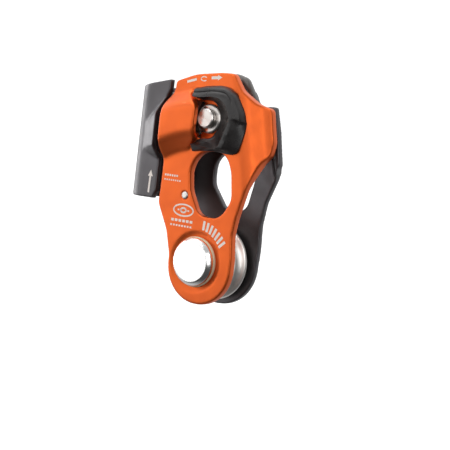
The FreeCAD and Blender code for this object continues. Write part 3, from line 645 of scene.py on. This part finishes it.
lathe("sheave_piece", AXLE, [
    (8.52, -5.5, 0.3), (11.6, -5.5, 0.2), (12.0, -5.2, 0.3), (15.2, -5.2, 0.3), (15.6, -5.5, 0.2),
    (16.7, -5.5, 0.5), (17.4, -4.8, 0.5), (17.0, -3.9, 0.6), (15.2, -3.0, 2.0),
    (13.9, -1.4, 1.5), (13.6, 0.0, 1.2), (13.9, 1.4, 1.5), (15.2, 3.0, 2.0), (17.0, 3.9, 0.6),
    (17.4, 4.8, 0.5), (16.7, 5.5, 0.5), (15.6, 5.5, 0.2), (15.2, 5.2, 0.3), (12.0, 5.2, 0.3),
    (11.6, 5.5, 0.2), (8.52, 5.5, 0.3),
], SHEAVE_METAL, "sheave", ("sheave",), segments=128, closed=True)

lathe("flange_rivet_piece", RIVET, [
    (0.0, -11.62), (1.0, -11.58, 0.3), (1.62, -11.42, 0.2), (1.7, -11.2, 0.2), (1.7, -7.8),
    (2.6, -7.8, 0.2), (2.6, -6.6, 0.4), (2.1, -6.2, 0.4), (0.0, -6.2),
], WIRE_STEEL, "mobile_side", ("flange_rivet",), segments=64)

washer("friction_washer", AXLE, 6.05, 0.25, CREAM, "fixed_side")
washer("front_thrust_washer", AXLE, 6.05, 0.3, CREAM, "fixed_side")
washer("rear_thrust_washer", AXLE, 6.05, 0.3, CREAM, "fixed_side")
washer("cam_washer", PIN, 5.05, 0.3, CREAM, "fixed_side")
washer("axle_rear_washer", AXLE, 5.02, 0.2, STEEL_AXLE, "fixed_side")
washer("pin_rear_washer", PIN, 4.02, 0.2, STEEL_PIN, "fixed_side")
washer("flange_bush", AXLE, 6.05, 0.25, BRONZE, "mobile_side")
washer("sheave_bush", AXLE, 6.05, 0.3, BRONZE, "sheave")
washer("cam_bush", PIN, 5.05, 0.3, BRONZE, "cam")


# ---- markings -------------------------------------------------------------------------------

MARK_LIFT = 0.03


def mark_piece(name, outlines, level, body):
    """Thin pale shapes on a face; outlines are convex rings of (x, z)."""
    work = bmesh.new()
    for ring in outlines:
        front = [work.verts.new((x * MM, (level - MARK_LIFT) * MM, z * MM)) for x, z in ring]
        back = [work.verts.new((x * MM, (level + MARK_LIFT) * MM, z * MM)) for x, z in ring]
        work.faces.new(front)
        work.faces.new(back[::-1])
        for i in range(len(ring)):
            j = (i + 1) % len(ring)
            work.faces.new((front[i], back[i], back[j], front[j]))
    bmesh.ops.recalc_face_normals(work, faces=work.faces)
    mesh = bpy.data.meshes.new(name)
    work.to_mesh(mesh)
    work.free()
    add_object(name, mesh, MARKING, body)


def bar(first, last, width):
    """A straight stroke between two points, as one ring."""
    start = Vector(first)
    end = Vector(last)
    along = (end - start).normalized()
    side = Vector((-along.y, along.x)) * (width / 2)
    return [tuple(start + side), tuple(start - side), tuple(end - side), tuple(end + side)]


def arrow(tail, tip, width, head):
    """A stroke that ends in a triangle, as two rings."""
    start = Vector(tail)
    end = Vector(tip)
    along = (end - start).normalized()
    side = Vector((-along.y, along.x)) * (head / 2)
    neck = end - along * head
    return [bar(tail, tuple(neck), width), [tuple(neck + side), tuple(neck - side), tuple(end)]]


def arc_strokes(centre, radii, start, end, width, steps):
    """A curved stroke of short bars; radii are along x and z, angles anticlockwise from +x."""
    points = []
    for i in range(steps + 1):
        turn = math.radians(start + (end - start) * i / steps)
        points.append((centre[0] + radii[0] * math.cos(turn),
                       centre[1] + radii[1] * math.sin(turn)))
    return [bar(points[i], points[i + 1], width) for i in range(steps)]


def radial_bar(radius, angle, length, width, lean=0.0):
    """A short stroke across an arc about the sheave's axle; lean is in radians off the radius."""
    turn = math.radians(angle)
    out = Vector((math.cos(turn), math.sin(turn)))
    along = Vector((math.cos(turn + lean), math.sin(turn + lean)))
    middle = out * radius
    return bar(tuple(middle - along * length / 2), tuple(middle + along * length / 2), width)


def opening_marks():
    """Along the top: a bar, a small open-ring sign and an arrow that shows which way to swing."""
    shapes = [bar((-15.8, 79.6), (-10.6, 81.0), 1.1)]
    shapes += arc_strokes((-6.4, 81.4), (1.7, 0.95), 40.0, 320.0, 0.45, 14)
    shapes += arrow((-2.3, 82.0), (3.6, 82.5), 1.3, 2.4)
    return shapes


def size_marks():
    """Two short rows of ticks above the rivet."""
    shapes = []
    for i in range(6):
        shapes.append(bar((-22.6 + 1.35 * i, 36.9), (-21.7 + 1.35 * i, 36.9), 0.9))
    for i in range(8):
        shapes.append(bar((-22.6 + 1.25 * i, 34.8), (-21.9 + 1.25 * i, 34.8), 0.7))
    return shapes


def emblem_marks():
    """A plain rope-on-pulley sign: a ring with a dot, over two rows of bars."""
    middle = (-9.6, 22.0)
    shapes = arc_strokes(middle, (5.6, 2.6), 0.0, 360.0, 0.7, 36)
    shapes += arc_strokes(middle, (1.5, 1.0), 0.0, 360.0, 0.8, 16)
    shapes.append(bar((-12.9, 22.0), (-11.9, 22.0), 0.7))
    shapes.append(bar((-7.3, 22.0), (-6.3, 22.0), 0.7))
    for i in range(6):
        shapes.append(bar((-16.0 + 2.15 * i, 17.2), (-14.5 + 2.15 * i, 17.2), 1.2))
    for i in range(8):
        shapes.append(bar((-16.2 + 1.6 * i, 14.9), (-15.2 + 1.6 * i, 14.9), 0.8))
    return shapes


def arc_marks():
    """Seven bold strokes on an arc over the axle cap, each turned a little off the radius."""
    return [radial_bar(16.9, 80.0 - 7.5 * i, 4.2, 1.2, 0.12) for i in range(7)]


mark_piece("opening_marks", opening_marks(), FRONT, "mobile_side")
mark_piece("size_marks", size_marks(), FRONT, "mobile_side")
mark_piece("emblem_marks", emblem_marks(), FRONT, "mobile_side")
mark_piece("arc_marks", arc_marks(), FRONT, "mobile_side")
mark_piece("lip_arrow_mark", arrow((-31.4, 27.6), (-31.1, 38.1), 1.0, 2.9), FRONT, "fixed_side")


# ---- camera, light and floor ----------------------------------------------------------------

VIEW_AZIMUTH = math.radians(35.94)         # how far round to the right the camera stands


def make_camera():
    """Long lens, round to the right and a little above; the picture leans clockwise."""
    azimuth, elevation, roll = VIEW_AZIMUTH, math.radians(3.90), math.radians(6.74)
    distance = 0.470
    target = Vector((9.8, -5.1, 18.0)) * MM
    back = Vector((math.sin(azimuth) * math.cos(elevation),
                   -math.cos(azimuth) * math.cos(elevation), math.sin(elevation)))
    level = Vector((math.cos(azimuth), math.sin(azimuth), 0.0))
    upright = back.cross(level)
    right = level * math.cos(roll) + upright * math.sin(roll)
    top = back.cross(right)
    lens = bpy.data.cameras.new("camera")
    lens.lens = 84.5
    lens.sensor_width = 36.0
    lens.clip_start = 0.01
    lens.clip_end = 20.0
    camera = bpy.data.objects.new("camera", lens)
    bpy.context.scene.collection.objects.link(camera)
    turn = Matrix((right, top, back)).transposed().to_4x4()
    camera.matrix_world = Matrix.Translation(target + back * distance) @ turn
    bpy.context.scene.camera = camera


def area_light(name, place, target, width, height, watts):
    """A white soft box at a place in metres, aimed at a target."""
    data = bpy.data.lights.new(name, "AREA")
    data.shape = "RECTANGLE"
    data.size = width
    data.size_y = height
    data.energy = watts
    light = bpy.data.objects.new(name, data)
    bpy.context.scene.collection.objects.link(light)
    light.location = place
    aim = Vector(target) - Vector(place)
    light.rotation_mode = "QUATERNION"
    light.rotation_quaternion = aim.to_track_quat("-Z", "Y")


def make_floor():
    """A pale floor that rises in a wide sweep behind the object."""
    drop = cad_box[0].z - 0.10
    near, far, rise, width = -2.5, 1.2, 1.6, 4.0
    bend = 0.9
    line = [(near, drop), (far - bend, drop)]
    steps = 24
    for i in range(1, steps + 1):
        turn = math.pi / 2 * i / steps
        line.append((far - bend + bend * math.sin(turn), drop + bend - bend * math.cos(turn)))
    line.append((far, drop + bend + rise))
    facing = Matrix.Rotation(VIEW_AZIMUTH, 3, "Z")
    verts = []
    for along, up in line:
        for side in (-width, width):
            verts.append(facing @ Vector((side, along, up)))
    faces = [(2 * i, 2 * i + 1, 2 * i + 3, 2 * i + 2) for i in range(len(line) - 1)]
    mesh = bpy.data.meshes.new("floor")
    mesh.from_pydata(verts, [], faces)
    for face in mesh.polygons:
        face.use_smooth = True
    floor = bpy.data.objects.new("floor", mesh)
    bpy.context.scene.collection.objects.link(floor)
    material, _, surface = shader("floor_pale", (0.55, 0.55, 0.55), 0.0, 0.9)
    surface.inputs["Emission Color"].default_value = (1.0, 1.0, 1.0, 1.0)
    surface.inputs["Emission Strength"].default_value = 0.72
    mesh.materials.append(material)
    floor.visible_glossy = False
    floor.visible_diffuse = False


def ramp(tree, value, start, end, from_value, to_value):
    """A clamped ramp of a value, smooth at both ends."""
    node = tree.nodes.new("ShaderNodeMapRange")
    node.interpolation_type = "SMOOTHSTEP"
    node.inputs["From Min"].default_value = start
    node.inputs["From Max"].default_value = end
    node.inputs["To Min"].default_value = from_value
    node.inputs["To Max"].default_value = to_value
    tree.links.new(value, node.inputs["Value"])
    return node.outputs["Result"]


def combine(tree, operation, first, second):
    """Result of a math node on two values."""
    node = tree.nodes.new("ShaderNodeMath")
    node.operation = operation
    tree.links.new(first, node.inputs[0])
    tree.links.new(second, node.inputs[1])
    return node.outputs["Value"]


def make_world():
    """White to the eye; to the object, a bright wall behind it, a soft ceiling, a dim room."""
    world = bpy.data.worlds.new("studio")
    world.use_nodes = True
    bpy.context.scene.world = world
    tree = world.node_tree
    background = tree.nodes["Background"]
    place = tree.nodes.new("ShaderNodeTexCoord")
    split = tree.nodes.new("ShaderNodeSeparateXYZ")
    tree.links.new(place.outputs["Generated"], split.inputs["Vector"])
    behind = tree.nodes.new("ShaderNodeVectorMath")
    behind.operation = "DOT_PRODUCT"
    behind.inputs[1].default_value = (-math.sin(VIEW_AZIMUTH), math.cos(VIEW_AZIMUTH), 0.0)
    tree.links.new(place.outputs["Generated"], behind.inputs[0])
    wall = ramp(tree, behind.outputs["Value"], -0.45, 0.35, 0.10, 0.95)
    ceiling = ramp(tree, split.outputs["Z"], 0.15, 0.95, 0.0, 0.45)
    above = ramp(tree, split.outputs["Z"], -0.55, 0.0, 0.60, 1.0)
    light = combine(tree, "MULTIPLY", combine(tree, "ADD", wall, ceiling), above)
    seen = tree.nodes.new("ShaderNodeLightPath")
    strength = combine(tree, "MAXIMUM", light, seen.outputs["Is Camera Ray"])
    tree.links.new(strength, background.inputs["Strength"])
    background.inputs["Color"].default_value = (1.0, 1.0, 1.0, 1.0)


make_camera()
make_floor()
make_world()
area_light("front_box", (-0.78, -0.92, 0.10), (0.0, 0.0, 0.03), 0.80, 0.90, 3.1)
area_light("front_fill", (0.25, -1.17, 0.32), (0.0, 0.0, 0.04), 1.40, 0.70, 3.7)
area_light("right_strip", (0.85, -0.77, 0.34), (0.0, 0.0, 0.04), 0.45, 0.90, 3.0)
area_light("left_strip", (-1.10, 0.0, 0.15), (0.0, 0.0, 0.04), 0.30, 0.90, 3.4)
area_light("top_box", (-0.35, -0.60, 0.95), (0.0, 0.0, 0.03), 0.90, 0.60, 5.0)
bpy.context.scene.view_settings.view_transform = "Standard"
